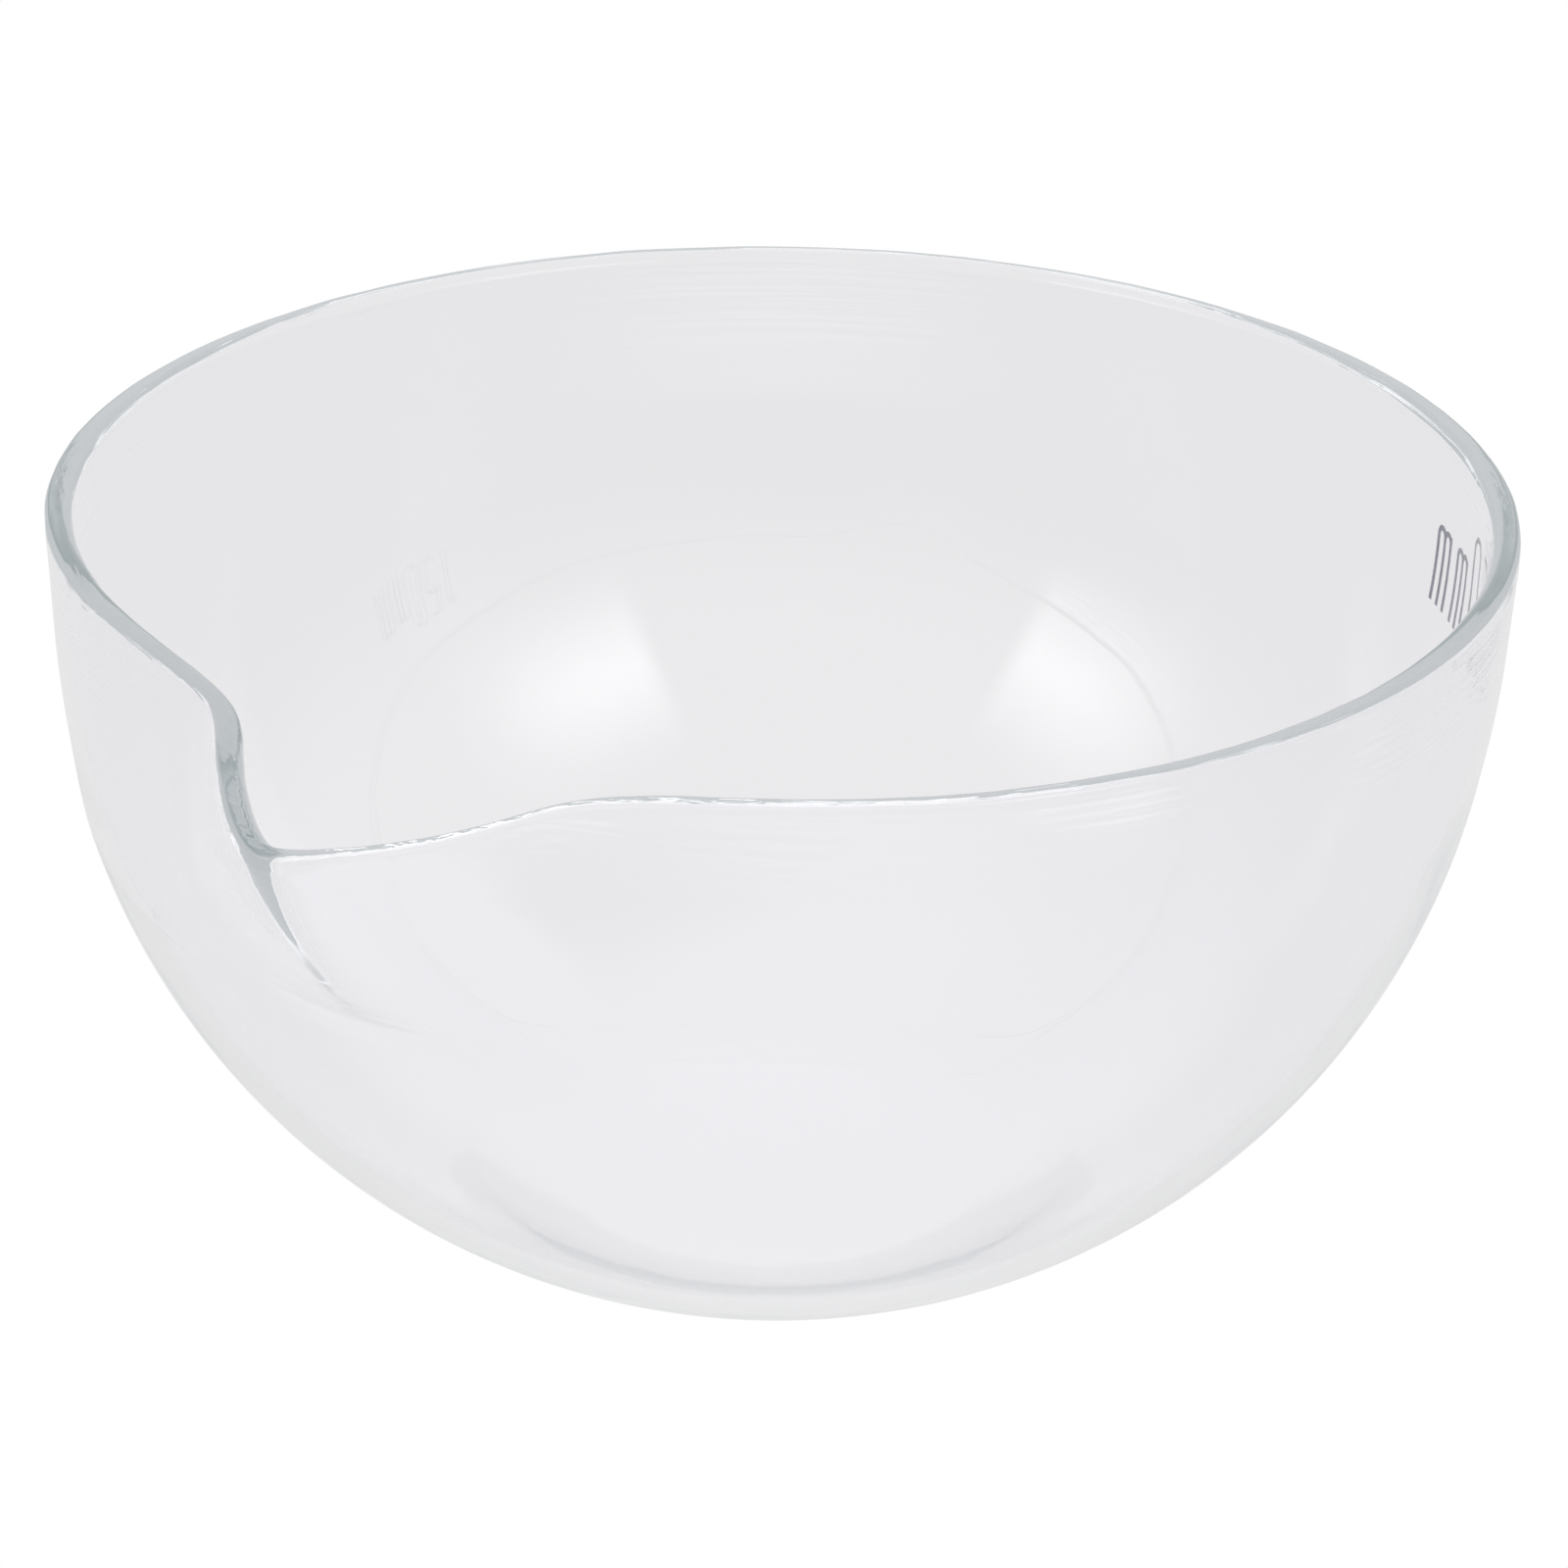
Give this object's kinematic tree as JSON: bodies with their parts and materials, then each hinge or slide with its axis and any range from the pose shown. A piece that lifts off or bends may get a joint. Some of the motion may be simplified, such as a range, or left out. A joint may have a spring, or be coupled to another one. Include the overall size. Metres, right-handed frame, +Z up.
{
  "type": "pouring bowl",
  "caption": "Round clear glass bowl with a flat base, a flared fire-polished rim and a pulled pouring lip, for mixing, evaporating and pouring out small batches.",
  "frame": {"origin": "centre of the flat base, on the surface the bowl stands on", "axes": "+Z up along the bowl's axis; -Y towards the pouring lip; +X to the right of someone facing the lip from inside the bowl"},
  "size_m": [0.15, 0.1605, 0.0802],
  "materials": {
    "clear_glass": "fire-polished clear borosilicate",
    "fired_enamel": "thin fired enamel, satin"
  },
  "bodies": {
    "root": {"glass_bowl": "clear_glass", "size_mark": "fired_enamel"}
  },
  "joints": []
}
